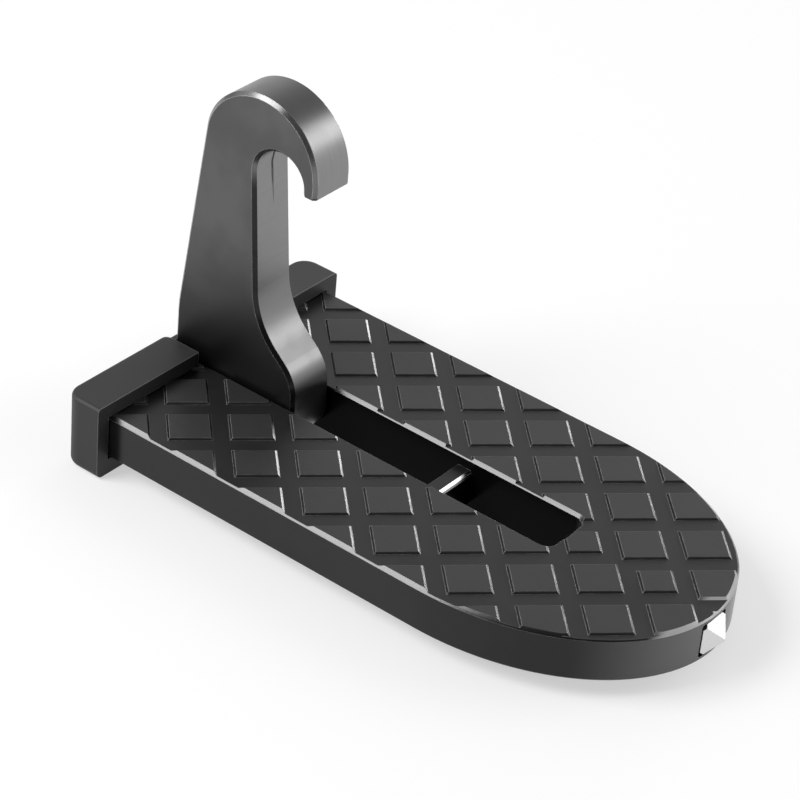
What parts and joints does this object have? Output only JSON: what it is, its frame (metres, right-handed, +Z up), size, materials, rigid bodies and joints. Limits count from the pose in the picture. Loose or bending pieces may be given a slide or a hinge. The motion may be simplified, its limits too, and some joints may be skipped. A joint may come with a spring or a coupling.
{
  "type": "car door latch step",
  "caption": "Folding foot step that hooks over a car door striker: ribbed pedal with anti-slip pads, fold-down latch hook, rubber bumper and pointed hammer tip.",
  "frame": {"origin": "bottom centre of the box around the whole step, on the plane it stands on", "axes": "+X from the rubber bumper to the hammer tip, +Y across the pedal along the pivot pin, +Z up through the upright hook"},
  "size_m": [0.1718, 0.0936, 0.1011],
  "materials": {
    "pedal_coat": "satin black powder coat on die-cast aluminium",
    "hook_coat": "satin black coat on cast aluminium, with brushed edges",
    "pin_steel": "plain ground steel",
    "bumper_rubber": "matte moulded rubber",
    "tip_steel": "bright hardened steel"
  },
  "bodies": {
    "step": {"pedal": "pedal_coat", "pivot_pin": "pin_steel", "bumper": "bumper_rubber", "hammer_tip": "tip_steel"},
    "hook": {"latch_hook": "hook_coat"}
  },
  "joints": [
    {"name": "hook_fold", "type": "hinge", "parent": "step", "child": "hook", "pos_m": [-0.0521, 0, 0.0119], "axis": [0, 1, 0], "range_deg": [0, 90]}
  ]
}
